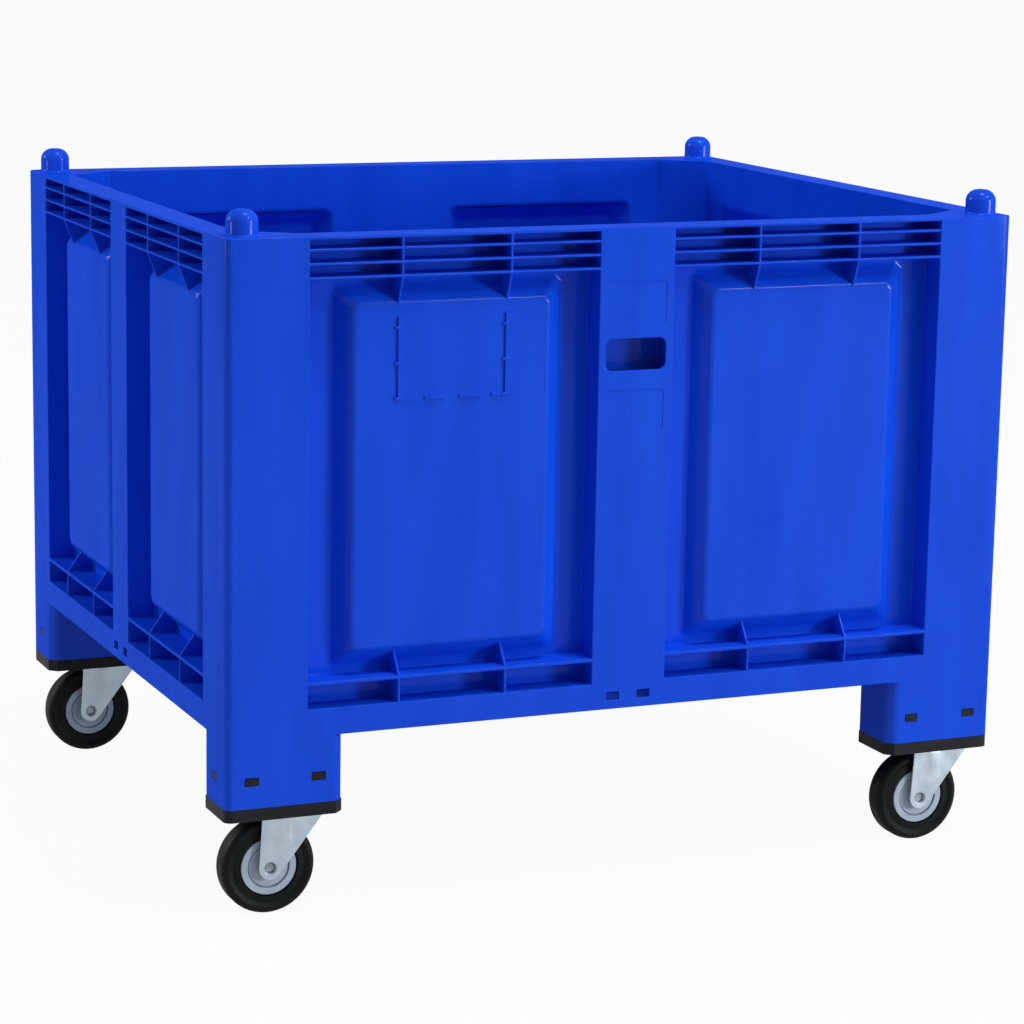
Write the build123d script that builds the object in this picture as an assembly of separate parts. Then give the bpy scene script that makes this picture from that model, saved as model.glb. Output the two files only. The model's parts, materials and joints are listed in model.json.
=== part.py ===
from build123d import *
from dataclasses import dataclass
from math import atan2, degrees, hypot, sqrt
import os

# A wheeled bin: a moulded tub on four hollow feet. Each foot is closed by a clipped-in insert, and a
# swivel caster is seated in the skirt of each insert. The tub is divided into its deck, walls, corner posts and
# feet. The origin lies on the floor under the middle of the bin, X runs along the long side, the
# front wall faces -Y and Z is up. All sizes are millimetres.

# Bin, outside
LENGTH = 1200.0
WIDTH = 1000.0
BODY_HEIGHT = 780.0  # underside of the feet to the rim
CORNER_RADIUS = 12.0

# Walls and deck
WALL_DEPTH = 45.0  # outer plane of the posts to the inside face
SKIN = 4.5
DECK_THICKNESS = 5.0
INSIDE_CHAMFER_X = 72.0
INSIDE_CHAMFER_Y = 50.0

# Posts: corner posts and the post in the middle of each wall
LONG_CORNER_POST = 118.0
LONG_MIDDLE_POST = 114.0
SHORT_CORNER_POST = 100.0
SHORT_MIDDLE_POST = 78.0

# Rib grids above and below the bays
RIM_THICKNESS = 4.5
RIB = 3.5
TOP_RIB_DROP = 18.5  # rim to the first rib's middle
TOP_RIB_PITCH = 19.0
TOP_RIB_COUNT = 3
LONG_RIB_SPACING = 159.0
SHORT_RIB_SPACING = 146.0
LEDGE_ROW = 38.0  # the row of cells between the apron's ledge and the deck
APRON_HEIGHT = 38.0
GUSSET_RUN = 24.0
GUSSET_RISE = 33.0

# Raised panel in each bay
PANEL_SIDE_MARGIN = 44.0  # bay side to the panel's foot
PANEL_TOP_MARGIN = 11.0  # lowest top rib to the panel's foot
PANEL_BOTTOM_MARGIN = 13.0  # deck to the panel's foot
PANEL_SLOPE = 25.0  # run of the sloping border
PANEL_SET_BACK = 14.0  # panel face behind the outer plane
PANEL_MITRE = 6.0  # chamfer of the edges between the sloping borders

# Hand slot in the middle post of each long wall, and blind windows in the apron below each post
SLOT_WIDTH = 92.0
SLOT_HEIGHT = 45.0
SLOT_RADIUS = 10.0
SLOT_DROP = 178.0  # rim to the slot's middle
APRON_WINDOW_SPACING = 48.0
WINDOW_WIDTH = 20.0
WINDOW_HEIGHT = 12.0

# Label holder on the front wall's left panel: two rails and a row of stop lugs
LABEL_WIDTH = 158.0
LABEL_HEIGHT = 114.0
LABEL_DROP = 114.0  # rim to the top of the rails
LABEL_RAIL = 4.5
LABEL_PROUD = 2.5
LABEL_LUG = 20.0
LABEL_LUG_COUNT = 3

# Stacking pegs on the rim
PEG_DIAMETER = 44.0
PEG_HEIGHT = 36.0
PEG_SHOULDER = 10.0
PEG_INSET = 34.0  # peg axis to the outer planes

# Feet and the ribs under the deck
FOOT_LENGTH = 172.0
FOOT_WIDTH = 100.0
FOOT_HEIGHT = 94.0
FOOT_WALL = 5.0
FOOT_CHAMFER = 12.0  # the corners that lie inside the bin's outline
FOOT_WINDOW_SPACING = 96.5
FOOT_WINDOW_RISE = 37.5  # foot underside to the windows' middle
DECK_RIB = 4.0
DECK_RIBS_LONG = 2  # ribs that run along X
DECK_RIBS_SHORT = 9  # ribs that run along Y

# Foot inserts
INSERT_BAND = 18.0  # height of the band below the foot
INSERT_SKIRT = 13.0  # depth of the skirt round the caster's plate
INSERT_WALL = 4.0
INSERT_FLOOR = 10.0
INSERT_RISE = 54.0  # height of the plug inside the foot
INSERT_CLEARANCE = 0.5

# Casters
CASTER_SHIFT = 24.0  # swivel axis from the foot's middle, towards +X
WHEEL_DIAMETER = 135.0
TYRE_WIDTH = 36.0
TRAIL = 36.0
WHEEL_HEADROOM = 5.4  # tyre to kingpin
PLATE_LENGTH = 100.0
PLATE_WIDTH = 85.0
PLATE_THICKNESS = 4.0
RACEWAY_DIAMETER = 48.0  # boss under the plate that the crown turns against
RACEWAY_HEIGHT = 4.0
CROWN_THICKNESS = 4.0
CROWN_REACH = 36.0  # swivel axis to the ends of the crown, which turns inside the skirt
KINGPIN_DIAMETER = 14.0
KINGPIN_HEAD = 24.0  # across flats
KINGPIN_HEAD_HEIGHT = 5.0
LEG_THICKNESS = 3.0
LEG_BEND = 6.0
LEG_END_RADIUS = 17.0
FORK_FRONT = 40.0  # swivel axis to the leading edge of the legs' shoulders, below the skirt
FORK_BACK = 48.0
FORK_TOP_EDGE = 4.0
SKIRT_CLEARANCE = 2.0  # between the shoulders and the skirt
HUB_DIAMETER = 82.0  # across the corners of the flats that key the tyre to the hub
HUB_FLAT_COUNT = 24
HUB_WIDTH = 32.0
SLEEVE_DIAMETER = 12.0  # the hub runs on a sleeve clamped between the legs
LEG_CLEARANCE = 4.0  # tyre side to leg
TYRE_CLEARANCE = 0.05
RUNNING_CLEARANCE = 0.05  # radial, pins in their bores
SIDE_CLEARANCE = 0.3  # between faces that turn past each other

# Levels, from the floor up
AXLE_HEIGHT = WHEEL_DIAMETER / 2
KINGPIN_BASE = WHEEL_DIAMETER + WHEEL_HEADROOM
KINGPIN_SHOULDER = KINGPIN_BASE + KINGPIN_HEAD_HEIGHT
CROWN_UNDERSIDE = KINGPIN_SHOULDER + SIDE_CLEARANCE
CROWN_TOP = CROWN_UNDERSIDE + CROWN_THICKNESS
RACEWAY = CROWN_TOP + SIDE_CLEARANCE
PLATE_UNDERSIDE = RACEWAY + RACEWAY_HEIGHT
PLATE_SEAT = PLATE_UNDERSIDE + PLATE_THICKNESS
SKIRT_BASE = PLATE_SEAT - INSERT_SKIRT
FORK_SHOULDER = SKIRT_BASE - SKIRT_CLEARANCE
FOOT_BASE = SKIRT_BASE + INSERT_BAND
APRON = FOOT_BASE + FOOT_HEIGHT
LEDGE = APRON + APRON_HEIGHT
DECK = LEDGE + LEDGE_ROW
RIM = FOOT_BASE + BODY_HEIGHT
RECESS = WALL_DEPTH - SKIN  # outer plane to the outside of the skin
TOP_RIBS = [RIM - TOP_RIB_DROP - i * TOP_RIB_PITCH for i in range(TOP_RIB_COUNT)]
BAY_TOP = TOP_RIBS[-1] - RIB / 2
FOOT_X = (LENGTH - FOOT_LENGTH) / 2
FOOT_Y = (WIDTH - FOOT_WIDTH) / 2

CORNERS = {
    "front_left": (-1, -1),
    "front_right": (1, -1),
    "back_left": (-1, 1),
    "back_right": (1, 1),
}

# A wall is drawn with its outer plane at Y = 0 and +Y leading into the bin, and set on a side of the bin
FRONT = Pos(0, -WIDTH / 2, 0)
BACK = Rot(0, 0, 180) * FRONT
RIGHT = Rot(0, 0, 90) * Pos(0, -LENGTH / 2, 0)
LEFT = Rot(0, 0, 180) * RIGHT


def at_corner(piece, corner):
    """A piece drawn at the back right corner, mirrored to another corner."""
    side_x, side_y = corner
    if side_x < 0:
        piece = mirror(piece, Plane.YZ)
    if side_y < 0:
        piece = mirror(piece, Plane.XZ)
    return piece


def prism(plan, bottom, top):
    """A plan drawn on the floor, raised between two levels."""
    return Pos(0, 0, bottom) * extrude(plan, amount=top - bottom)


def wall_plane(depth):
    """A plane parallel to the wall, seen from outside, at a depth behind its outer plane."""
    return Plane(origin=(0, depth, 0), x_dir=(1, 0, 0), z_dir=(0, -1, 0))


def sunk(outline, depth, start=0.0):
    """An outline drawn on the wall, sunk from one depth to another."""
    return extrude(wall_plane(start) * outline, amount=start - depth)


def clear_spans(start, end, ribs):
    """The middle and width of each clear span that ribs leave between start and end."""
    edges = [start]
    for rib in sorted(ribs):
        edges += [rib - RIB / 2, rib + RIB / 2]
    edges.append(end)
    return [((low + high) / 2, high - low) for low, high in zip(edges[::2], edges[1::2])]


@dataclass
class Wall:
    """The layout of a wall: corner posts at its ends, a post in the middle and two bays between."""

    span: float
    corner_post: float
    middle_post: float
    rib_spacing: float

    @property
    def bay_edges(self):
        return self.middle_post / 2, self.span / 2 - self.corner_post

    @property
    def bay_width(self):
        return self.bay_edges[1] - self.bay_edges[0]

    @property
    def bay_middle(self):
        return sum(self.bay_edges) / 2

    @property
    def ribs(self):
        return [self.bay_middle + side * self.rib_spacing / 2 for side in (-1, 1)]

    @property
    def columns(self):
        return clear_spans(*self.bay_edges, self.ribs)


LONG_WALL = Wall(LENGTH, LONG_CORNER_POST, LONG_MIDDLE_POST, LONG_RIB_SPACING)
SHORT_WALL = Wall(WIDTH, SHORT_CORNER_POST, SHORT_MIDDLE_POST, SHORT_RIB_SPACING)


def panel(wall, inset, foot_depth, face_depth):
    """The raised panel of the bay, or with an inset the pocket inside it."""
    bottom, top = DECK + PANEL_BOTTOM_MARGIN, BAY_TOP - PANEL_TOP_MARGIN
    width, height = wall.bay_width - 2 * (PANEL_SIDE_MARGIN + inset), top - bottom - 2 * inset
    rise = foot_depth - face_depth
    slope = degrees(atan2(RECESS - PANEL_SET_BACK, PANEL_SLOPE))
    on_foot = (Align.CENTER, Align.MIN)
    across = Plane((0, 0, 0), x_dir=(-1, 0, 0), z_dir=(0, 0, 1))
    upright = Plane((0, 0, 0), x_dir=(0, 0, 1), z_dir=(1, 0, 0))
    block = extrude(across * Trapezoid(width, rise, slope, align=on_foot), amount=height / 2, both=True)
    block &= extrude(upright * Trapezoid(height, rise, slope, align=on_foot), amount=width / 2, both=True)
    mitres = block.edges().sort_by(SortBy.LENGTH)[:4]
    return Pos(wall.bay_middle, foot_depth, (bottom + top) / 2) * chamfer(mitres, PANEL_MITRE)


def gussets(wall):
    """The sloping ends of the bay's upright ribs, above and below the panel."""
    panel_face_top = BAY_TOP - PANEL_TOP_MARGIN - PANEL_SLOPE
    upper = Polyline(
        (0, BAY_TOP),
        (PANEL_SET_BACK, panel_face_top),
        (RECESS, panel_face_top),
        (RECESS, BAY_TOP),
        close=True,
    )
    lower = Polyline(
        (0, DECK),
        (GUSSET_RUN, DECK + GUSSET_RISE),
        (RECESS, DECK + GUSSET_RISE),
        (RECESS, DECK),
        close=True,
    )
    return [
        extrude(Plane.YZ.offset(rib) * make_face(side), amount=RIB / 2, both=True)
        for rib in wall.ribs
        for side in (upper, lower)
    ]


def bay_cuts(wall):
    """What is cut from the +X half of a wall: the bay around its panel, the rib cells and the beam."""
    bay = Pos(wall.bay_middle, (DECK + BAY_TOP) / 2) * Rectangle(wall.bay_width, BAY_TOP - DECK)
    rows = clear_spans(TOP_RIBS[-1] + RIB / 2, RIM - RIM_THICKNESS, TOP_RIBS[:-1])
    rows += clear_spans(LEDGE, DECK - DECK_THICKNESS, [])
    cells = Sketch() + [
        Pos(x, z) * Rectangle(width, height) for x, width in wall.columns for z, height in rows
    ]
    beam_height = APRON_HEIGHT - SKIN
    beam = Pos(wall.bay_middle, APRON + beam_height / 2) * Rectangle(wall.bay_width, beam_height)
    rise = RECESS - PANEL_SET_BACK
    inset = SKIN * (hypot(PANEL_SLOPE, rise) - PANEL_SLOPE) / rise
    return [
        sunk(bay, RECESS) - panel(wall, 0, RECESS, PANEL_SET_BACK) - gussets(wall),
        sunk(cells, RECESS),
        sunk(beam, RECESS, SKIN),
        panel(wall, inset, WALL_DEPTH, PANEL_SET_BACK + SKIN),
    ]


def wall_piece(wall):
    """A wall between its corner posts: two bays, and a hollow middle post that is open below."""
    half = bay_cuts(wall)
    hollow_height = RIM - RIM_THICKNESS - APRON
    hollow = Pos(0, APRON + hollow_height / 2) * Rectangle(wall.middle_post - 2 * SKIN, hollow_height)
    windows = Sketch() + [
        Pos(side * APRON_WINDOW_SPACING / 2, APRON + APRON_HEIGHT / 2)
        * Rectangle(WINDOW_WIDTH, WINDOW_HEIGHT)
        for side in (-1, 1)
    ]
    plan = Pos(0, WALL_DEPTH / 2) * Rectangle(2 * wall.bay_edges[1], WALL_DEPTH)
    cuts = half + [mirror(cut, Plane.YZ) for cut in half]
    return prism(plan, APRON, RIM) - cuts - sunk(hollow, RECESS, SKIN) - sunk(windows, SKIN)


def hand_slot():
    outline = RectangleRounded(SLOT_WIDTH, SLOT_HEIGHT, SLOT_RADIUS)
    return sunk(Pos(0, RIM - SLOT_DROP) * outline, SKIN)


def label_holder():
    """Rails and stop lugs on the face of the left panel of the front wall."""
    middle = -LONG_WALL.bay_middle
    bottom = RIM - LABEL_DROP - LABEL_HEIGHT
    rail = Rectangle(LABEL_RAIL, LABEL_HEIGHT)
    lug = Rectangle(LABEL_LUG, LABEL_RAIL)
    lug_pitch = LABEL_WIDTH / (LABEL_LUG_COUNT + 1)
    places = [(i + 1) * lug_pitch - LABEL_WIDTH / 2 for i in range(LABEL_LUG_COUNT)]
    outline = Sketch() + [
        Pos(middle + side * LABEL_WIDTH / 2, bottom + LABEL_HEIGHT / 2) * rail for side in (-1, 1)
    ]
    outline += [Pos(middle + place, bottom + LABEL_RAIL / 2) * lug for place in places]
    return sunk(outline, PANEL_SET_BACK, PANEL_SET_BACK - LABEL_PROUD)


def tub_plan():
    """Plan of the inside, a rectangle with a flat across each corner."""
    x, y = LENGTH / 2 - WALL_DEPTH, WIDTH / 2 - WALL_DEPTH
    quarter = [(x, y - INSIDE_CHAMFER_Y), (x - INSIDE_CHAMFER_X, y)]
    half = quarter + [(-px, py) for px, py in reversed(quarter)]
    return make_face(Polyline(*half, *[(-px, -py) for px, py in half], close=True))


def foot_plan(inset):
    """Plan of the back right foot inside its outer face, with a flat across all corners but the outer one."""
    plan = Pos(FOOT_X, FOOT_Y) * Rectangle(FOOT_LENGTH - 2 * inset, FOOT_WIDTH - 2 * inset)
    inner_corners = plan.vertices().sort_by(Axis((0, 0, 0), (1, 1, 0)))[:-1]
    return chamfer(inner_corners, FOOT_CHAMFER - inset * (2 - sqrt(2)))


def outer_plan():
    return RectangleRounded(LENGTH, WIDTH, CORNER_RADIUS)


def deck():
    """The floor of the tub, with ribs below it and over the walls of the feet."""
    length, width = LENGTH - 2 * WALL_DEPTH, WIDTH - 2 * WALL_DEPTH
    along = [
        Pos(0, (i + 1) * width / (DECK_RIBS_LONG + 1) - width / 2) * Rectangle(length, DECK_RIB)
        for i in range(DECK_RIBS_LONG)
    ]
    across = [
        Pos((i + 1) * length / (DECK_RIBS_SHORT + 1) - length / 2, 0) * Rectangle(DECK_RIB, width)
        for i in range(DECK_RIBS_SHORT)
    ]
    foot_ribs = foot_plan(0) - foot_plan(FOOT_WALL)
    pockets = tub_plan() - along - across - [at_corner(foot_ribs, corner) for corner in CORNERS.values()]
    return prism(tub_plan(), APRON, DECK) - prism(pockets, APRON, DECK - DECK_THICKNESS)


def peg():
    """A stacking peg with a sloping shoulder."""
    post = Cylinder(PEG_DIAMETER / 2, PEG_HEIGHT, align=(Align.CENTER, Align.CENTER, Align.MIN))
    return chamfer(post.edges().sort_by(Axis.Z)[-1], PEG_SHOULDER)


def corner_post():
    """A hollow post round the corner of the tub, with its stacking peg, at the back right corner."""
    middle = Pos((LENGTH - LONG_CORNER_POST) / 2, (WIDTH - SHORT_CORNER_POST) / 2)
    outline = outer_plan() & middle * Rectangle(LONG_CORNER_POST, SHORT_CORNER_POST)
    hollow = middle * Rectangle(LONG_CORNER_POST - 2 * SKIN, SHORT_CORNER_POST - 2 * SKIN)
    hollow -= offset(tub_plan(), amount=SKIN, kind=Kind.INTERSECTION)
    post = prism(outline - tub_plan(), APRON, RIM) - prism(hollow, APRON, RIM - RIM_THICKNESS)
    return post + Pos(LENGTH / 2 - PEG_INSET, WIDTH / 2 - PEG_INSET, RIM) * peg()


def at_foot_windows(piece):
    """A piece drawn on a wall, set at each window in the outer faces of the back right foot."""
    level = FOOT_BASE + FOOT_WINDOW_RISE
    long_side = [
        BACK * Pos(side * FOOT_WINDOW_SPACING / 2 - FOOT_X, 0, level) * piece for side in (-1, 1)
    ]
    return long_side + [RIGHT * Pos(FOOT_Y, 0, level) * piece]


def foot():
    """A hollow foot with a window for each snap lug of its insert, at the back right corner."""
    tube = (outer_plan() & foot_plan(0)) - foot_plan(FOOT_WALL)
    window = sunk(Rectangle(WINDOW_WIDTH, WINDOW_HEIGHT), FOOT_WALL)
    return prism(tube, FOOT_BASE, APRON) - at_foot_windows(window)


def foot_insert():
    """A tray under the back right foot: a band flush with the foot, a skirt below the floor that the
    caster is bolted to, and a plug with snap lugs inside the foot."""
    plug_side = FOOT_WALL + INSERT_CLEARANCE
    plug_top = FOOT_BASE + INSERT_RISE
    insert = prism(outer_plan() & foot_plan(0), SKIRT_BASE, FOOT_BASE)
    insert += prism(foot_plan(plug_side), FOOT_BASE, plug_top)
    insert -= prism(foot_plan(plug_side + INSERT_WALL), PLATE_SEAT + INSERT_FLOOR, plug_top)
    insert -= prism(foot_plan(INSERT_WALL), SKIRT_BASE, PLATE_SEAT)
    lug = Rectangle(WINDOW_WIDTH - 2 * INSERT_CLEARANCE, WINDOW_HEIGHT - 2 * INSERT_CLEARANCE)
    return insert + at_foot_windows(sunk(lug, FOOT_WALL + INSERT_WALL, INSERT_CLEARANCE))


# The caster's own frame has the swivel axis on Z, the floor at Z = 0 and the wheel trailing towards -X
FORK_INSIDE = TYRE_WIDTH + 2 * LEG_CLEARANCE
FORK_OUTSIDE = FORK_INSIDE + 2 * LEG_THICKNESS


def along_axle(section, length):
    """A section drawn about the axle, as a roller or ring of that length in the middle of the fork."""
    middle = Plane((-TRAIL, 0, AXLE_HEIGHT), z_dir=(0, 1, 0))
    return extrude(middle * section, amount=length / 2, both=True)


def top_plate():
    """The plate under the insert, with the raceway pressed into it."""
    plate = prism(Rectangle(PLATE_LENGTH, PLATE_WIDTH), PLATE_UNDERSIDE, PLATE_SEAT)
    return plate + prism(Circle(RACEWAY_DIAMETER / 2), RACEWAY, PLATE_UNDERSIDE)


def kingpin():
    """The headed pin that hangs the fork under the raceway."""
    hexagon = RegularPolygon(KINGPIN_HEAD / 2, 6, major_radius=False)
    head = prism(hexagon, KINGPIN_BASE, KINGPIN_SHOULDER)
    return head + prism(Circle(KINGPIN_DIAMETER / 2), KINGPIN_SHOULDER, RACEWAY)


def fork():
    """A pressed fork: a channel over the wheel, trimmed to the outline of its crown and legs."""
    at_top = (Align.CENTER, Align.MAX)
    outside = Pos(0, CROWN_TOP) * Rectangle(FORK_OUTSIDE, CROWN_TOP, align=at_top)
    inside = Pos(0, CROWN_UNDERSIDE) * Rectangle(FORK_INSIDE, CROWN_UNDERSIDE, align=at_top)
    section = chamfer(outside.vertices().group_by(Axis.Y)[-1], LEG_BEND)
    section -= chamfer(inside.vertices().group_by(Axis.Y)[-1], LEG_BEND)
    channel = extrude(Plane.YZ * section, amount=TRAIL + FORK_BACK + FORK_FRONT, both=True)
    from_corner = (Align.MIN, Align.MAX)
    shoulders = Rectangle(FORK_BACK + FORK_FRONT, FORK_TOP_EDGE, align=from_corner)
    leg_end = Pos(-TRAIL, AXLE_HEIGHT) * Circle(LEG_END_RADIUS)
    side = make_hull((Pos(-FORK_BACK, FORK_SHOULDER) * shoulders).edges() + leg_end.edges())
    side += Pos(0, CROWN_TOP) * Rectangle(2 * CROWN_REACH, CROWN_TOP - FORK_SHOULDER, align=at_top)
    bore = prism(Circle(KINGPIN_DIAMETER / 2 + RUNNING_CLEARANCE), CROWN_UNDERSIDE, CROWN_TOP)
    return (channel & extrude(Plane.XZ * side, amount=FORK_OUTSIDE, both=True)) - bore


def axle_sleeve():
    return along_axle(Circle(SLEEVE_DIAMETER / 2), FORK_INSIDE)


def wheel_hub():
    bore = Circle(SLEEVE_DIAMETER / 2 + RUNNING_CLEARANCE)
    return along_axle(RegularPolygon(HUB_DIAMETER / 2, HUB_FLAT_COUNT) - bore, HUB_WIDTH)


def tyre():
    seat = RegularPolygon(HUB_DIAMETER / 2 + TYRE_CLEARANCE, HUB_FLAT_COUNT)
    return along_axle(Circle(WHEEL_DIAMETER / 2) - seat, TYRE_WIDTH)


def caster_place(corner):
    """The swivel axis under one foot. All four casters trail the same way."""
    side_x, side_y = corner
    return Pos(side_x * FOOT_X + CASTER_SHIFT, side_y * FOOT_Y, 0)


def under_each_foot(maker):
    return Part() + [caster_place(corner) * maker() for corner in CORNERS.values()]


def all_pieces():
    long_wall = wall_piece(LONG_WALL) - hand_slot()
    short_wall = wall_piece(SHORT_WALL)
    pieces = {
        "deck": deck(),
        "front_wall": FRONT * (long_wall + label_holder()),
        "back_wall": BACK * long_wall,
        "left_wall": LEFT * short_wall,
        "right_wall": RIGHT * short_wall,
        "top_plates": under_each_foot(top_plate),
        "kingpins": under_each_foot(kingpin),
    }
    for name, corner in CORNERS.items():
        for maker in (corner_post, foot, foot_insert):
            pieces[f"{name}_{maker.__name__}"] = at_corner(maker(), corner)
        for maker in (fork, axle_sleeve, wheel_hub, tyre):
            pieces[f"{name}_{maker.__name__}"] = caster_place(corner) * maker()
    return pieces


os.makedirs("parts", exist_ok=True)
for node, piece in all_pieces().items():
    export_step(piece, f"parts/{node}.step")
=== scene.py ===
import json
import math

import bmesh
import bpy
from mathutils import Matrix, Vector


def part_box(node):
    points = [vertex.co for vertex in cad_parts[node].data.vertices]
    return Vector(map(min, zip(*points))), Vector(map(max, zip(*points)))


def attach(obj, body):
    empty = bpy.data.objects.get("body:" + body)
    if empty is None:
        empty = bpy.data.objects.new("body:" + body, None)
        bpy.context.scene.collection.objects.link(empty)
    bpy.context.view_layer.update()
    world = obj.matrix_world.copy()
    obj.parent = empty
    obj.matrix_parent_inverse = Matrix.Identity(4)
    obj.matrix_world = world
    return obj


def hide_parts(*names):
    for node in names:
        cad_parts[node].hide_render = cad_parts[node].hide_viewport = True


# Looks of the wheeled bin: one moulded tub, foot inserts, and four swivel casters.
# Lengths are metres. X runs along the long side, the front faces -Y and Z is up.
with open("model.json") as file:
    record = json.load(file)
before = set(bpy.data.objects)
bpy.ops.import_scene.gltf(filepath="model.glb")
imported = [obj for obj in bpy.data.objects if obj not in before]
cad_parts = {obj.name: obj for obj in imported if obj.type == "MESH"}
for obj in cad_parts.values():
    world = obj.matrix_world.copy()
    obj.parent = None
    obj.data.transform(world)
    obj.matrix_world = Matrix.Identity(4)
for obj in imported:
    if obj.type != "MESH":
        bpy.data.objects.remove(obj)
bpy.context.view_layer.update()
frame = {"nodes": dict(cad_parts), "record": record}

CORNERS = ("front_left", "front_right", "back_left", "back_right")
WALLS = ("front_wall", "back_wall", "left_wall", "right_wall")
MM = 0.001

# Slack in joining and comparing points
MERGE = 0.001 * MM  # points that are one
LEVEL = 0.01 * MM  # points on one level or line
SNAP = 0.02 * MM  # points and planes that a boolean leaves side by side
SLANT = 0.03 * MM  # least lean of a seam that is taken out
NEAR = 0.1 * MM  # points on a surface whose place is known
SQUARE_ON = 0.99999  # least share of a normal along the axis that its face stands square to
RIGHT_ANGLE_SLACK = 0.01  # radians

# Turns from one face to the next, in degrees
FLAT_TURN = 0.3  # most within a flat face
SHARP_TURN = 19  # least at an edge of the tub or a fork
SLOPE_TURN = 25  # least at the borders of panels, the corners of feet and the shoulders of pegs
BEVEL_TURN = 30  # least that is rounded on pieces without weights
STEEP_TURN = 70  # least at a square edge

# Tub
POST_CORNER = 13.0 * MM  # reach of a post's rounded outer corner
SEAM_STEP = 3.0 * MM  # least distance of two seams in a flat face
EDGE_ROUND = 1.2 * MM  # sharp edges of the moulding
FOOT_EDGE = 0.3 * MM  # edges of the feet on their inserts
BORDER_ROUND = 5.0 * MM  # soft edges of the sloping panel borders
FOOT_SLOPE = 12.5 * MM  # reach of the sloping corners of the feet
FOOT_CORNER = 6.0 * MM  # their edges
PEG_ROUND = 6.0 * MM  # shoulders of the pegs
PEG_FOOT = 4.0 * MM  # hollow round the foot of a peg
WIDEST_ROUND = 6.0 * MM
ALWAYS_ROOM = (PEG_ROUND, PEG_FOOT, FOOT_CORNER)  # roundings that their faces never limit
FACE_SHARE = 0.45  # most of a face's width that one rounding takes
SHORT_END = 1.2  # most width of a face, as a multiple of the edge that is its short end
SHEET_CORNER_STEPS = 6

# Bare plaques in the front middle post, and the button in the lower one
PLAQUES = (  # width, height, and drop of the middle below the rim
    (92 * MM, 62 * MM, 106 * MM),
    (88 * MM, 59 * MM, 257.5 * MM),
)
PLAQUE_DEPTH = 0.8 * MM
PLAQUE_CORNER = 7.0 * MM
PLAQUE_EDGE = 0.35 * MM
BUTTON_RADIUS = 6.0 * MM
BUTTON_RISE = 0.5 * MM  # out of the lower plaque
BUTTON_STEPS = 32

# Label holder on the left front panel
LABEL_X = -269.5 * MM  # its middle
LABEL_SPAN = 158 * MM  # distance of its rails
LABEL_DROP = 114 * MM  # rim to the rails' tops
LABEL_HEIGHT = 114 * MM  # height of the rails
LABEL_FACE = 14 * MM  # panel behind the front posts
LABEL_ROOT = 2 * MM  # depth of its pieces in the panel
LABEL_OVERLAP = 0.5 * MM  # reach of its pieces past the ends of the solid's rails
LABEL_EDGE = 0.5 * MM
RAIL_WIDTH = 10 * MM
RAIL_PROUD = 3 * MM
RAIL_LEFT = 2.5 * MM  # part of that width at the left of the rail's place
TICK_WIDTH = 9 * MM
TICK_HEIGHT = 3 * MM
TICK_PROUD = 4 * MM
TICK_LEVELS = (0.02, 0.445, 0.875)  # shares of a rail's height
STOPS = (  # distance from the holder's middle, and width
    (-64 * MM, 17 * MM),
    (-27 * MM, 30 * MM),
    (25 * MM, 32 * MM),
    (68 * MM, 22 * MM),
)
STOP_HEIGHT = 5 * MM
STOP_PROUD = 2.5 * MM
STOP_ROOM = 110 * MM  # width that is cleared for them

# Foot inserts, plates, kingpins and plate bolts
INSERT_ROUND = 0.3 * MM
PLATE_ROUND = 0.6 * MM
PLATE_THICKNESS = 4.0 * MM
BOLT_X = 41.5 * MM  # bolts from the swivel axis
BOLT_Y = 34.0 * MM
BOLT_HEAD = 7.5 * MM
BOLT_HEIGHT = 5.0 * MM
BOLT_SIDES = 6
BOLT_ROUND = 0.5 * MM
WASHER_RADIUS = 8.0 * MM
WASHER_HEIGHT = 1.5 * MM
WASHER_SIDES = 32

# Wheels: lengths about the axle are a radius and a distance from the wheel's middle plane
TYRE_SEAT = 0.6 * MM  # inner edge of the tyre, inside the wheel centre's radius
TYRE_ROOT = 4.0 * MM  # that edge behind the wheel centre's face
BEAD_WIDTH = 2.0 * MM  # raised edge of the tyre's side, round the wheel centre
BEAD_DEPTH = 1.5 * MM
BAND_PLACE = 0.42  # lowest line of the tyre's side, as a share of its height
BAND_DEPTH = 3.2 * MM
SHOULDER = 9.0 * MM  # round shoulders of the tyre
SHOULDER_STEPS = 9
TYRE_ROUND = 0.6 * MM
LIP_WIDTH = 10.5 * MM  # outer ring of the wheel centre
LIP_EDGE = 1.0 * MM  # that ring inside the tyre
GROOVE = 1.6 * MM  # between that ring and the web
GROOVE_DEPTH = 5.0 * MM
WEB_DEPTH = 2.0 * MM  # web behind the ring
BOSS_RADIUS = 11.0 * MM
BOSS_FLARE = 2.0 * MM  # growth of the boss towards the web
BOSS_REACH = 3.0 * MM  # boss in front of the ring
BORE_RADIUS = 6.05 * MM
CENTRE_ROUND = 0.7 * MM

# Forks and axle rivets
PRESSING_WIDTH = 24.0 * MM  # rib pressed into each leg
PRESSING_LENGTH = 52.0 * MM
PRESSING_END = 0.48 * PRESSING_WIDTH  # rounding of its lower end
PRESSING_OFFSET = 22.0 * MM  # its middle in front of the axle
PRESSING_LIFT = 0.92 * PRESSING_LENGTH  # its middle above the axle
PRESSING_ROOT = 1.0 * MM  # its root in the leg
PRESSING_START = 0.001 * MM  # foot of its slope in front of the leg's face
PRESSING_SLOPE = 6.0 * MM
PRESSING_RISE = 2.5 * MM
FORK_ROUND = 0.9 * MM
AXLE_RADIUS = 6.0 * MM
RIVET_RADIUS = 8.7 * MM
RIVET_GAP = 0.1 * MM  # round a rivet in its hole
RIVET_SINK = 0.2 * MM  # its ends behind the legs' outer faces
RIVET_FLOOR = 1.0 * MM  # steel behind the hollow in its ends
RIVET_STEPS = 48
RIVET_ROUND = 0.4 * MM
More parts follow.
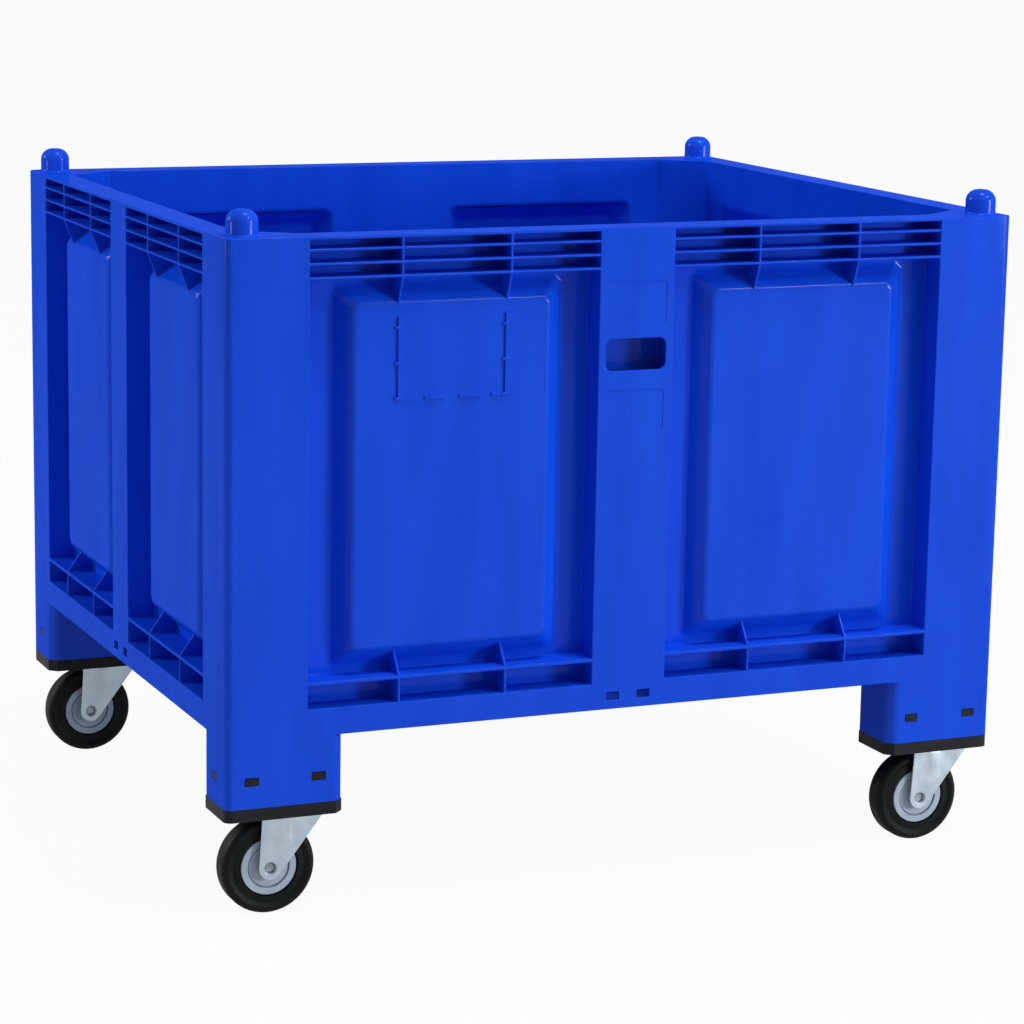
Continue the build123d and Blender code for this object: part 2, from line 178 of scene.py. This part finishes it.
DISH_MOUTH = 7.4 * MM  # that hollow
DISH_FLOOR = 5.4 * MM
DISH_DEPTH = 4.2 * MM

# Stage
FLOOR_SIZE = 80
FLOOR_GLOW = 0.94  # share of plain white in the floor; the rest takes the shadow
MIRRORED = 0.45  # share of the white that gloss and metal show
AMBIENT = 0.26  # light of the world on the object
BACKDROP = 0.95  # as bright as the far floor, so that no horizon shows
LAMP_AIM = Vector((0, 0, 0.55))
LAMPS = (  # name, place, width, height and power
    ("key_lamp", (5.0, -5.0, 1.2), 1.8, 1.8, 226),  # front right
    ("top_lamp", (0.6, -1.5, 5.5), 1.8, 1.8, 150),  # above
    ("edge_lamp", (2.7, -3.7, 4.4), 2.6, 0.25, 60),  # long and narrow, for light edges
    ("left_fill", (-4.5, 2.6, 2.4), 2.0, 2.0, 120),  # soft, at the back left
    ("left_glint", (-5.0, 0.2, 0.65), 0.5, 0.5, 15),  # small, for the left walls
)

# Camera, in the photograph's place
FOCAL_PX = 3254.94
IMAGE_PX = 1024
SENSOR_WIDTH = 36.0
AZIMUTH = math.radians(23.256)
TILT = math.radians(11.249)
ROLL = math.radians(0.995)
CAMERA_PLACE = (-1.9289, -4.5602, 1.4314)


# Materials

DRIFT = (0.3, 0.7)  # part of a noise over which colour and roughness go from one end to the other


def linear(code):
    """An sRGB hex colour as the linear colour that a socket takes."""
    channels = [int(code[i:i + 2], 16) / 255 for i in (1, 3, 5)]
    return [c / 12.92 if c <= 0.04045 else ((c + 0.055) / 1.055) ** 2.4 for c in channels] + [1.0]


def add(tree, kind, sockets=None, **settings):
    """A node with its settings; a socket takes a value or another node's output."""
    made = tree.nodes.new(kind)
    for name, value in settings.items():
        setattr(made, name, value)
    for name, value in (sockets or {}).items():
        if isinstance(value, bpy.types.NodeSocket):
            tree.links.new(value, made.inputs[name])
        else:
            made.inputs[name].default_value = value
    return made


def per_mm(size):
    """The texture scale that gives a pattern features of that many millimetres."""
    return 1 / (size * MM)


def surface(name, dark, light, cloud, roughness, grain, swell, streak=1.0, **sockets):
    """A material: its colour drifts between dark and light over clouds of that many millimetres, which are
    drawn out upwards by the streak, and its roughness drifts with it between two values. The grain and the
    swell of its surface are each given as a width and a height in millimetres."""
    material = bpy.data.materials.new(name)
    material.use_nodes = True
    tree = material.node_tree
    shader = tree.nodes["Principled BSDF"]
    for socket, value in sockets.items():
        shader.inputs[socket.replace("_", " ")].default_value = value
    place = add(tree, "ShaderNodeTexCoord").outputs["Object"]
    drawn = add(tree, "ShaderNodeMapping", {"Vector": place, "Scale": (1.0, 1.0, 1 / streak)})
    drift = add(tree, "ShaderNodeTexNoise", {"Vector": drawn.outputs["Vector"], "Scale": per_mm(cloud),
                                             "Detail": 3.0})
    ramp = add(tree, "ShaderNodeValToRGB", {"Fac": drift.outputs["Fac"]})
    for stop, position, colour in zip(ramp.color_ramp.elements, DRIFT, (dark, light)):
        stop.position, stop.color = position, linear(colour)
    tree.links.new(ramp.outputs["Color"], shader.inputs["Base Color"])
    gloss = add(tree, "ShaderNodeMapRange", {"Value": drift.outputs["Fac"], "From Min": DRIFT[0],
                                             "From Max": DRIFT[1], "To Min": roughness[0],
                                             "To Max": roughness[1]})
    tree.links.new(gloss.outputs["Result"], shader.inputs["Roughness"])
    height = 0.0
    for width, rise in (grain, swell):
        waves = add(tree, "ShaderNodeTexNoise", {"Vector": place, "Scale": per_mm(width), "Detail": 2.0})
        height = add(tree, "ShaderNodeMath", {0: waves.outputs["Fac"], 1: rise, 2: height},
                     operation="MULTIPLY_ADD").outputs[0]
    bump = add(tree, "ShaderNodeBump", {"Height": height, "Distance": MM, "Strength": 1.0})
    tree.links.new(bump.outputs["Normal"], shader.inputs["Normal"])
    return material


# Injection-moulded HDPE: a deep blue with faint upright flow streaks, a fine spark-eroded grain, and the
# slow waves that sink marks leave in long walls. The grain of the real mould is finer than a pixel, so it
# is drawn a few millimetres wide. Its thin gloss skin only shows as soft lights on pegs, ribs and corners.
tub_blue = surface("moulded_hdpe_blue", "#0D44CF", "#124CDC", cloud=55, streak=6.0, roughness=(0.42, 0.52),
                   grain=(3.0, 0.012), swell=(70, 0.12), IOR=1.54, Specular_IOR_Level=0.0,
                   Coat_Weight=0.06, Coat_Roughness=0.16, Coat_IOR=2.4)
# Moulded black polypropylene: dull, slightly grey along its rubbed faces
insert_black = surface("moulded_polypropylene_black", "#17181C", "#202127", cloud=60, roughness=(0.45, 0.6),
                       grain=(2.0, 0.03), swell=(30, 0.1), IOR=1.49, Specular_IOR_Level=0.14)
# Pressed sheet steel with bright zinc plating: pale and soft, with a cloudy blue passivation
zinc = surface("bright_zinc_plated_steel", "#B2C2CE", "#C3D0DA", cloud=26, roughness=(0.3, 0.42),
               grain=(1.6, 0.01), swell=(24, 0.05), Metallic=1.0)
# Cold-headed steel of the axle rivets, with a dull dish: its colour is darker than the plating, partly as
# plain steel and partly as painted shade in the hollow rivet ends
rivet_steel_with_painted_shade = surface("cold_headed_steel_painted_shade", "#87919B", "#A0AAB4", cloud=8, roughness=(0.34, 0.48),
                      grain=(1.2, 0.02), swell=(10, 0.05), Metallic=1.0)
# Moulded grey polypropylene of the wheel centres: even and half matt
hub_grey = surface("moulded_polypropylene_grey", "#9FB0C1", "#ADBCCC", cloud=40, roughness=(0.4, 0.52),
                   grain=(1.5, 0.012), swell=(25, 0.08), IOR=1.49, Specular_IOR_Level=0.4)
# Solid rubber: nearly black and matt, with a dusty bloom in the low places
rubber = surface("vulcanised_rubber_black", "#080D0F", "#0F1517", cloud=22, roughness=(0.45, 0.6),
                 grain=(1.2, 0.03), swell=(18, 0.1), IOR=1.52, Specular_IOR_Level=0.12)


# Making pieces

def merged_copy(node):
    """A CAD node's mesh with its loose triangles joined."""
    bm = bmesh.new()
    bm.from_mesh(frame["nodes"][node].data)
    bmesh.ops.remove_doubles(bm, verts=bm.verts, dist=MERGE)
    return bm


def as_object(bm, name):
    """A bmesh as an object of the scene."""
    mesh = bpy.data.meshes.new(name)
    bm.to_mesh(mesh)
    bm.free()
    made = bpy.data.objects.new(name, mesh)
    bpy.context.scene.collection.objects.link(made)
    return made


def combined(first, others, operation):
    """The closed mesh that a boolean makes of shells."""
    base = as_object(first, "boolean_base")
    tools = bpy.data.collections.new("boolean_tools")
    helpers = [as_object(other, "boolean_tool") for other in others]
    for helper in helpers:
        tools.objects.link(helper)
    boolean = base.modifiers.new("boolean", "BOOLEAN")
    boolean.operation, boolean.solver = operation, "MANIFOLD"
    boolean.operand_type, boolean.collection = "COLLECTION", tools
    shape = base.evaluated_get(bpy.context.evaluated_depsgraph_get())
    mesh = bpy.data.meshes.new_from_object(shape)
    bm = bmesh.new()
    bm.from_mesh(mesh)
    bpy.data.meshes.remove(mesh)
    for helper in helpers + [base]:
        bpy.data.meshes.remove(helper.data)
    bpy.data.collections.remove(tools)
    return bm


def sharp(edge):
    """Whether an edge turns enough to be seen."""
    return edge.calc_face_angle(0.0) > math.radians(SHARP_TURN)


def face_plane(face):
    """The axis that a face stands square to, with its side and level, or None."""
    axis = max(range(3), key=lambda i: abs(face.normal[i]))
    if abs(face.normal[axis]) < SQUARE_ON:
        return None
    return axis, face.normal[axis] > 0, round(face.verts[0].co[axis] / SNAP)


def edges_of(faces):
    """The edges of faces, each once."""
    return list(dict.fromkeys(edge for face in faces for edge in face.edges))


def verts_of(faces):
    """The points of faces, each once."""
    return list(dict.fromkeys(vert for face in faces for vert in face.verts))


def square_corner(vert, axis):
    """Whether the outline of a flat face turns square at a point."""
    lines = [edge.other_vert(vert).co - vert.co for edge in vert.link_edges if sharp(edge)]
    lines = [line for line in lines if abs(line[axis]) < LEVEL]
    return any(abs(one.angle(two) - math.pi / 2) < RIGHT_ANGLE_SLACK
               for one in lines for two in lines if one is not two)


def seam_places(faces, axis, across):
    """Where seams run through the corners of flat faces, those along the longest outlines first."""
    lengths = {}
    for edge in edges_of(faces):
        one, two = edge.verts
        if sharp(edge) and abs(one.co[across] - two.co[across]) < LEVEL:
            if square_corner(one, axis) or square_corner(two, axis):
                place = round(one.co[across] / SNAP)
                lengths.setdefault(place, [0.0, one.co[across]])[0] += edge.calc_length()
    return [place for _, place in sorted(lengths.values(), reverse=True)]


def with_seams(bm, faces, across, places):
    """Flat faces cut by seams at places on an axis, as the faces that come of it."""
    done = []
    for place in places:
        if all(abs(place - earlier) > SEAM_STEP for earlier in done):
            done.append(place)
            where, square = Vector(), Vector()
            where[across], square[across] = place, 1.0
            cut = bmesh.ops.bisect_plane(bm, geom=faces + edges_of(faces) + verts_of(faces), dist=SNAP,
                                         plane_co=where, plane_no=square)
            faces = [piece for piece in cut["geom"] if isinstance(piece, bmesh.types.BMFace)]
    return faces


def flattened(bm, cuts=((), (), ())):
    """Makes the flat faces that booleans have cut up whole again, each without a hole. Those that stand
    square to an axis are laid out in rectangles, with seams through their corners and through further cuts
    on the three axes, so that every seam leaves an edge squarely."""
    bmesh.ops.remove_doubles(bm, verts=bm.verts, dist=SNAP)
    bmesh.ops.dissolve_limit(bm, angle_limit=math.radians(FLAT_TURN), verts=bm.verts, edges=bm.edges)
    planes = {}
    for face in bm.faces:
        planes.setdefault(face_plane(face), []).append(face)
    bmesh.ops.connect_verts_concave(bm, faces=planes.pop(None, []))
    for (axis, _, _), faces in planes.items():
        if len(faces) == 1 and len(faces[0].verts) == 4:
            continue
        others = [i for i in range(3) if i != axis]
        for across in others:
            faces = with_seams(bm, faces, across, seam_places(faces, axis, across) + list(cuts[across]))
        mine = set(faces)
        slanted = []
        for edge in edges_of(faces):
            line = edge.verts[0].co - edge.verts[1].co
            if all(face in mine for face in edge.link_faces) and min(abs(line[i]) for i in others) > SLANT:
                slanted.append(edge)
        bmesh.ops.dissolve_edges(bm, edges=slanted, use_verts=True)
    return bm


def rounded(piece, width, segments=2, limit="ANGLE", weld=False):
    """Rounds a piece's edges: those that turn enough, or by their weights."""
    if weld:
        piece.modifiers.new("weld", "WELD").merge_threshold = MERGE
    bevel = piece.modifiers.new("bevel", "BEVEL")
    bevel.width, bevel.segments, bevel.limit_method = width, segments, limit
    bevel.angle_limit = math.radians(BEVEL_TURN)
    bevel.use_clamp_overlap = bevel.loop_slide = False
    piece.modifiers.new("flat_faces", "WEIGHTED_NORMAL")
    for face in piece.data.polygons:
        face.use_smooth = True


def give_finish(piece, material):
    """Makes a material the only one of a piece."""
    piece.data.materials.clear()
    piece.data.materials.append(material)


def dress(piece, body, material, replaced=()):
    """Puts a finished piece on its body, with its finish and the nodes that it stands for."""
    give_finish(piece, material)
    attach(piece, body)
    if replaced:
        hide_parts(*replaced)


def turned(profile, centre, ring=True, steps=96):
    """A shape spun about a line along Y through its centre, from the corners of its section as (radius,
    side): a ring, or a solid whose section starts and ends on that line."""
    bm = bmesh.new()
    corners = [bm.verts.new(centre + Vector((0, side, radius))) for radius, side in profile]
    ends = corners[1:] + corners[:1] if ring else corners[1:]
    edges = [bm.edges.new(pair) for pair in zip(corners, ends)]
    bmesh.ops.spin(bm, geom=corners + edges, cent=centre, axis=(0, 1, 0), dvec=(0, 0, 0),
                   angle=math.tau, steps=steps, use_merge=True)
    bmesh.ops.remove_doubles(bm, verts=bm.verts, dist=MERGE)
    bmesh.ops.recalc_face_normals(bm, faces=bm.faces)
    return bm


def both_sides(section):
    """A section from the middle outwards, carried on through its mirror image on the other side."""
    return section + [(radius, -side) for radius, side in reversed(section)]


def drum(radius, half, centre, steps):
    """A solid round drum that lies along Y."""
    return turned(both_sides([(0, half), (radius, half)]), centre, ring=False, steps=steps)


def upright_sheet(width, height, corner=0.0, is_round=lambda place: True):
    """A sheet in the XZ plane about the origin, with round corners where asked."""
    bm = bmesh.new()
    bmesh.ops.create_grid(bm, x_segments=1, y_segments=1, size=0.5)
    bmesh.ops.rotate(bm, verts=bm.verts, cent=(0, 0, 0), matrix=Matrix.Rotation(math.pi / 2, 3, "X"))
    bmesh.ops.scale(bm, vec=(width, 1, height), verts=bm.verts)
    if corner:
        bmesh.ops.bevel(bm, geom=[v for v in bm.verts if is_round(v.co)], affect="VERTICES", offset=corner,
                        segments=SHEET_CORNER_STEPS, profile=0.5, material=-1)
    return bm


def thickened(bm, place, reach):
    """A sheet carried to its place and extruded by a vector into a closed block."""
    bmesh.ops.translate(bm, vec=place, verts=bm.verts)
    grown = bmesh.ops.extrude_face_region(bm, geom=bm.faces[:], use_keep_orig=True)
    moved = [piece for piece in grown["geom"] if isinstance(piece, bmesh.types.BMVert)]
    bmesh.ops.translate(bm, vec=reach, verts=moved)
    bmesh.ops.recalc_face_normals(bm, faces=bm.faces)
    return bm


def standing_prism(sides, radius, foot, height):
    """A prism or round disc that stands up from the middle of its foot."""
    bm = bmesh.new()
    bmesh.ops.create_cone(bm, cap_ends=True, segments=sides, radius1=radius, radius2=radius, depth=height)
    bmesh.ops.translate(bm, vec=foot + Vector((0, 0, height / 2)), verts=bm.verts)
    return bm


def joined(shells):
    """Closed shells as one bmesh."""
    bm = bmesh.new()
    for shell in shells:
        mesh = bpy.data.meshes.new("shell")
        shell.to_mesh(mesh)
        shell.free()
        bm.from_mesh(mesh)
        bpy.data.meshes.remove(mesh)
    return bm


# Tub

def matched_foot(corner):
    """A foot whose rounded corner takes the points of the post above it, so that they join cleanly."""
    foot, post = merged_copy(f"{corner}_foot"), merged_copy(f"{corner}_corner_post")
    low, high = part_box(f"{corner}_foot")
    outer = Vector([low[i] if low[i] + high[i] < 0 else high[i] for i in (0, 1)])
    seam = [v.co.xy for v in post.verts if abs(v.co.z - high.z) < LEVEL]
    for vert in foot.verts:
        if (vert.co.xy - outer).length < POST_CORNER:
            vert.co.xy = min(seam, key=lambda point: (point - vert.co.xy).length)
    post.free()
    bmesh.ops.remove_doubles(foot, verts=foot.verts, dist=MERGE)
    return foot


tub_shells = [merged_copy(wall) for wall in WALLS]
tub_shells += [merged_copy(f"{corner}_corner_post") for corner in CORNERS]
tub_shells += [matched_foot(corner) for corner in CORNERS]
tub_mesh = combined(merged_copy("deck"), tub_shells, "UNION")

# Room for the plaques and for the label holder's stops is cut out of the moulding
front_face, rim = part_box("front_wall")[0].y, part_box("front_wall")[1].z
plaque_floor = front_face + PLAQUE_DEPTH
label_face = front_face + LABEL_FACE
label_foot = rim - LABEL_DROP - LABEL_HEIGHT
sunk = [thickened(upright_sheet(width, height, PLAQUE_CORNER), (0, plaque_floor, rim - drop),
                  (0, -4 * PLAQUE_DEPTH, 0)) for width, height, drop in PLAQUES]
sunk.append(thickened(upright_sheet(STOP_ROOM, 2 * STOP_HEIGHT),
                      (LABEL_X, label_face, label_foot + STOP_HEIGHT / 2), (0, -2 * STOP_PROUD, 0)))
tub_mesh = combined(tub_mesh, sunk, "DIFFERENCE")


def label_block(x, z, width, height, proud):
    """A block on the face of the label's panel, rooted in the panel."""
    sheet = upright_sheet(width, height)
    return thickened(sheet, (x, label_face + LABEL_ROOT, z), (0, -LABEL_ROOT - proud, 0))


# The button, the stops, and broad rails with small ticks on their left edges are joined to it
trim = [drum(BUTTON_RADIUS, BUTTON_RISE, Vector((0, plaque_floor, rim - PLAQUES[1][2])), BUTTON_STEPS)]
stop_middle = label_foot + (STOP_HEIGHT - 2 * LABEL_OVERLAP) / 2
trim += [label_block(LABEL_X + x, stop_middle, width, STOP_HEIGHT, STOP_PROUD) for x, width in STOPS]
for side in (-1, 1):
    left = LABEL_X + side * LABEL_SPAN / 2 - RAIL_LEFT
    trim.append(label_block(left + RAIL_WIDTH / 2, label_foot + LABEL_HEIGHT / 2, RAIL_WIDTH,
                            LABEL_HEIGHT + 2 * LABEL_OVERLAP, RAIL_PROUD))
    trim += [label_block(left, label_foot + level * LABEL_HEIGHT, TICK_WIDTH, TICK_HEIGHT, TICK_PROUD)
             for level in TICK_LEVELS]
peg_mounts = [mount for mount in frame["record"]["mounts"] if mount["kind"] == "pin"]
pegs = [Vector(mount["pos_m"]) for mount in peg_mounts]
further_cuts = ([0.0] + [peg.x for peg in pegs], [peg.y for peg in pegs], ())
tub_mesh = flattened(combined(tub_mesh, trim, "UNION"), further_cuts)

# The shoulder of each peg is laid out again in plain strips between its two rings, which round cleanly
peg_radius, peg_length = [peg_mounts[0]["dims"][name] * MM for name in ("r_mm", "length_mm")]
peg_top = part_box("front_left_corner_post")[1].z
for peg in pegs:
    between = [v for v in tub_mesh.verts if peg.z + peg_length / 2 + NEAR < v.co.z < peg_top - NEAR
               and (v.co - peg).xy.length < peg_radius]
    bmesh.ops.delete(tub_mesh, geom=between, context="VERTS")
    strips = bmesh.ops.bridge_loops(tub_mesh, edges=[e for e in tub_mesh.edges if e.is_boundary])["faces"]
    bmesh.ops.recalc_face_normals(tub_mesh, faces=strips)

foot_low, foot_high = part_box("front_left_foot")


def on_foot_corner(place):
    """Whether a point lies on a sloping outer corner of a foot."""
    inside = min(abs(foot_low[i]) - abs(place[i]) for i in (0, 1))
    return inside < FOOT_SLOPE and place.z < foot_high.z + NEAR


# Each of these corners is made one face, so that it can be rounded wide
slope_seams = [edge for edge in tub_mesh.edges if edge.calc_face_angle(1.0) < math.radians(FLAT_TURN)
               and all(on_foot_corner(v.co) for v in edge.verts)
               and all(face_plane(face) is None for face in edge.link_faces)]
bmesh.ops.dissolve_edges(tub_mesh, edges=slope_seams)


def on_foot_base(place):
    """Whether a point lies where a foot stands on its insert."""
    return abs(place.z - foot_low.z) < NEAR


def on_plaque(place):
    """Whether a point lies on a plaque or its button."""
    return (abs(place.x) < PLAQUES[0][0] / 2 + MM and place.y < front_face + 1.5 * PLAQUE_DEPTH
            and any(abs(place.z - rim + drop) < height / 2 + MM for _, height, drop in PLAQUES))


def on_label(place):
    """Whether a point lies on the label holder."""
    return (abs(place.x - LABEL_X) < LABEL_SPAN / 2 + 2 * RAIL_WIDTH and place.y < label_face + NEAR
            and -RAIL_WIDTH < place.z - label_foot < LABEL_HEIGHT + RAIL_WIDTH)


def on_peg_foot(place):
    """Whether a point lies on the ring where a peg stands on the rim."""
    return (abs(place.z - rim) < NEAR
            and any(abs((place - peg).xy.length - peg_radius) < NEAR for peg in pegs))


SQUARE_EDGES = (
    (on_foot_base, FOOT_EDGE),
    (on_plaque, PLAQUE_EDGE),
    (on_label, LABEL_EDGE),
    (on_peg_foot, PEG_FOOT),
)


def rounding(edge):
    """How far the mould rounds an edge of the tub."""
    turn = math.degrees(edge.calc_face_angle(0.0))
    places = [v.co for v in edge.verts]
    if turn > STEEP_TURN:
        for belongs, size in SQUARE_EDGES:
            if all(belongs(place) for place in places):
                return size
        return EDGE_ROUND
    if turn > SLOPE_TURN:
        if edge.is_convex and all(on_foot_corner(place) for place in places):
            return FOOT_CORNER
        return PEG_ROUND if places[0].z > rim + MM else BORDER_ROUND
    return EDGE_ROUND if turn > SHARP_TURN else 0.0


def room(edge):
    """How far an edge can be rounded before it meets the rounding across its narrower face. Where it is the
    short end of a face, that is the face's far end."""
    along = (edge.verts[1].co - edge.verts[0].co).normalized()
    length = edge.calc_length()
    limits = []
    for face in edge.link_faces:
        area = face.calc_area()
        reach = [along.dot(v.co) for v in face.verts]
        is_end = max(reach) - min(reach) < SHORT_END * length and area > length ** 2
        limits.append(FACE_SHARE * area / (length if is_end else face.calc_perimeter() / 2))
    return min(limits)


weights = tub_mesh.edges.layers.float.new("bevel_weight_edge")
for edge in tub_mesh.edges:
    size = rounding(edge)
    if size not in ALWAYS_ROOM:
        size = min(size, room(edge))
    edge[weights] = size / WIDEST_ROUND
tub = as_object(tub_mesh, "tub_moulding")
rounded(tub, WIDEST_ROUND, segments=3, limit="WEIGHT")
tub_nodes = ["deck", *WALLS]
tub_nodes += [f"{corner}_{part}" for corner in CORNERS for part in ("corner_post", "foot")]
dress(tub, "bin", tub_blue, tub_nodes)

# Foot inserts, plates and kingpins keep their solids, with rounded edges
for corner in CORNERS:
    insert = frame["nodes"][f"{corner}_foot_insert"]
    rounded(insert, INSERT_ROUND, weld=True)
    give_finish(insert, insert_black)
for node in ("top_plates", "kingpins"):
    rounded(frame["nodes"][node], PLATE_ROUND, weld=True)
    give_finish(frame["nodes"][node], zinc)

# Plate bolts: a hexagon head and a washer at each corner of a top plate
joint_places = {joint["name"]: Vector(joint["pos_m"]) for joint in frame["record"]["behaviour"]["joints"]}
plate_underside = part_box("top_plates")[1].z - PLATE_THICKNESS
for corner in CORNERS:
    swivel = joint_places[f"{corner}_swivel"]
    shells = []
    for x in (-BOLT_X, BOLT_X):
        for y in (-BOLT_Y, BOLT_Y):
            washer = Vector((swivel.x + x, swivel.y + y, plate_underside)) - Vector((0, 0, WASHER_HEIGHT))
            head = washer - Vector((0, 0, BOLT_HEIGHT))
            shells.append(standing_prism(WASHER_SIDES, WASHER_RADIUS, washer, WASHER_HEIGHT))
            shells.append(standing_prism(BOLT_SIDES, BOLT_HEAD, head, BOLT_HEIGHT))
    bolts = as_object(joined(shells), f"{corner}_plate_bolts")
    rounded(bolts, BOLT_ROUND)
    dress(bolts, "bin", zinc)


# Casters

def tyre_section(hub, hub_half, outer, half):
    """From the wheel centre out over the bead and the dished side to the round shoulder."""
    section = [(hub - TYRE_SEAT, hub_half - TYRE_ROOT), (hub + BEAD_WIDTH, half - BEAD_DEPTH),
               (hub + BAND_PLACE * (outer - hub), half - BAND_DEPTH)]
    for step in range(SHOULDER_STEPS + 1):
        turn = math.radians(90 * step / SHOULDER_STEPS)
        section.append((outer - SHOULDER * (1 - math.sin(turn)), half - SHOULDER * (1 - math.cos(turn))))
    return section


def centre_section(hub, hub_half):
    """From the bore out over the boss, the web and the groove to the ring."""
    lip, web, groove_floor = hub - LIP_WIDTH, hub_half - WEB_DEPTH, hub_half - GROOVE_DEPTH
    boss = hub_half + BOSS_REACH
    return [(BORE_RADIUS, boss), (BOSS_RADIUS, boss), (BOSS_RADIUS + BOSS_FLARE, web), (lip - GROOVE, web),
            (lip - GROOVE, groove_floor), (lip, groove_floor), (lip, hub_half), (hub - LIP_EDGE, hub_half)]


def rivet_section(end):
    """From the middle of the dish out over its mouth, and back to the axle."""
    dish, back = end - DISH_DEPTH, end - DISH_DEPTH - RIVET_FLOOR
    return [(0, dish), (DISH_FLOOR, dish), (DISH_MOUTH, end), (RIVET_RADIUS, end), (RIVET_RADIUS, back),
            (AXLE_RADIUS, back)]


def pressing(place, side):
    """A soft rib pressed outwards in one leg of a fork, with a round lower end."""
    sheet = upright_sheet(PRESSING_WIDTH, PRESSING_LENGTH, PRESSING_END, lambda corner: corner.z < 0)
    block = thickened(sheet, place - Vector((0, side * PRESSING_ROOT, 0)),
                      (0, side * (PRESSING_ROOT + PRESSING_START), 0))
    crest = max(block.faces, key=lambda face: side * face.calc_center_median().y)
    bmesh.ops.inset_region(block, faces=[crest], thickness=PRESSING_SLOPE, depth=PRESSING_RISE,
                           use_even_offset=True)
    return block


for corner in CORNERS:
    fork_body, wheel_body = f"{corner}_swivel_fork", f"{corner}_wheel"
    tyre_low, tyre_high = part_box(f"{corner}_tyre")
    hub_low, hub_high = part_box(f"{corner}_wheel_hub")
    fork_low, fork_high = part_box(f"{corner}_fork")
    axle = (tyre_low + tyre_high) / 2
    outer, half = (tyre_high.x - tyre_low.x) / 2, (tyre_high.y - tyre_low.y) / 2
    hub, hub_half = (hub_high.x - hub_low.x) / 2, (hub_high.y - hub_low.y) / 2
    fork_half = (fork_high.y - fork_low.y) / 2

    section = tyre_section(hub, hub_half, outer, half)
    tyre = as_object(turned(both_sides(section), axle), f"{corner}_tyre_moulding")
    rounded(tyre, TYRE_ROUND)
    dress(tyre, wheel_body, rubber, [f"{corner}_tyre"])

    section = centre_section(hub, hub_half)
    centre = as_object(turned(both_sides(section), axle), f"{corner}_wheel_centre")
    rounded(centre, CENTRE_ROUND)
    dress(centre, wheel_body, hub_grey, [f"{corner}_wheel_hub"])

    ribs = [pressing(axle + Vector((PRESSING_OFFSET, side * fork_half, PRESSING_LIFT)), side)
            for side in (-1, 1)]
    fork_mesh = combined(merged_copy(f"{corner}_fork"), ribs, "UNION")
    hole = drum(RIVET_RADIUS + RIVET_GAP, 2 * fork_half, axle, RIVET_STEPS)
    fork_mesh = flattened(combined(fork_mesh, [hole], "DIFFERENCE"))
    fork = as_object(fork_mesh, f"{corner}_pressed_fork")
    rounded(fork, FORK_ROUND)
    dress(fork, fork_body, zinc, [f"{corner}_fork"])

    # Axle rivets in the darker steel, whose colour is partly painted shade in their hollow ends
    section = rivet_section(fork_half - RIVET_SINK)
    rivet_mesh = turned(both_sides(section), axle, ring=False, steps=RIVET_STEPS)
    rivet = as_object(rivet_mesh, f"{corner}_axle_rivet")
    rounded(rivet, RIVET_ROUND)
    dress(rivet, fork_body, rivet_steel_with_painted_shade, [f"{corner}_axle_sleeve"])

# Stage: a white floor and world, and soft lamps

floor_mesh = bmesh.new()
bmesh.ops.create_grid(floor_mesh, x_segments=1, y_segments=1, size=FLOOR_SIZE)
floor = as_object(floor_mesh, "floor")
floor_white = bpy.data.materials.new("matt_white_floor")
floor_white.use_nodes = True
floor.data.materials.append(floor_white)


def seen(tree):
    """1 for rays that show the background to the camera or through glass, and less for mirrored ones."""
    path = add(tree, "ShaderNodeLightPath").outputs
    mirrored = add(tree, "ShaderNodeMath", {0: path["Is Glossy Ray"], 1: MIRRORED}, operation="MULTIPLY")
    clear = add(tree, "ShaderNodeMath", {0: path["Is Camera Ray"], 1: path["Is Transmission Ray"]},
                operation="MAXIMUM")
    return add(tree, "ShaderNodeMath", {0: clear.outputs[0], 1: mirrored.outputs[0]},
               operation="MAXIMUM").outputs[0]


tree = floor_white.node_tree
matt = tree.nodes["Principled BSDF"]
matt.inputs["Base Color"].default_value = linear("#C8C8C8")
matt.inputs["Roughness"].default_value = 0.9
glow = add(tree, "ShaderNodeEmission", {"Color": linear("#FFFFFF"), "Strength": 1.0})
share = add(tree, "ShaderNodeMath", {0: seen(tree), 1: FLOOR_GLOW}, operation="MULTIPLY")
blend = add(tree, "ShaderNodeMixShader", {0: share.outputs[0], 1: matt.outputs[0], 2: glow.outputs[0]})
tree.links.new(blend.outputs[0], tree.nodes["Material Output"].inputs["Surface"])

world = bpy.data.worlds.new("white_studio")
world.use_nodes = True
tree = world.node_tree
level = add(tree, "ShaderNodeMapRange", {"Value": seen(tree), "To Min": AMBIENT, "To Max": BACKDROP})
tree.links.new(level.outputs["Result"], tree.nodes["Background"].inputs["Strength"])
tree.nodes["Background"].inputs["Color"].default_value = linear("#FFFFFF")
bpy.context.scene.world = world

for name, place, width, height, power in LAMPS:
    light = bpy.data.lights.new(name, "AREA")
    light.shape, light.size, light.size_y, light.energy = "ELLIPSE", width, height, power
    lamp = bpy.data.objects.new(name, light)
    lamp.location = place
    lamp.rotation_euler = (LAMP_AIM - Vector(place)).to_track_quat("-Z", "Y").to_euler()
    bpy.context.scene.collection.objects.link(lamp)

# Camera

forward = Vector((math.sin(AZIMUTH) * math.cos(TILT), math.cos(AZIMUTH) * math.cos(TILT), -math.sin(TILT)))
level_right = Vector((math.cos(AZIMUTH), -math.sin(AZIMUTH), 0))
right = Matrix.Rotation(-ROLL, 3, forward) @ level_right
up = right.cross(forward)
camera_data = bpy.data.cameras.new("photo_camera")
camera_data.sensor_fit, camera_data.sensor_width = "HORIZONTAL", SENSOR_WIDTH
camera_data.lens = FOCAL_PX / IMAGE_PX * SENSOR_WIDTH
camera = bpy.data.objects.new("photo_camera", camera_data)
camera.matrix_world = Matrix((right, up, -forward)).transposed().to_4x4()
camera.location = CAMERA_PLACE
bpy.context.scene.collection.objects.link(camera)
bpy.context.scene.camera = camera

bpy.context.scene.view_settings.view_transform = "Standard"
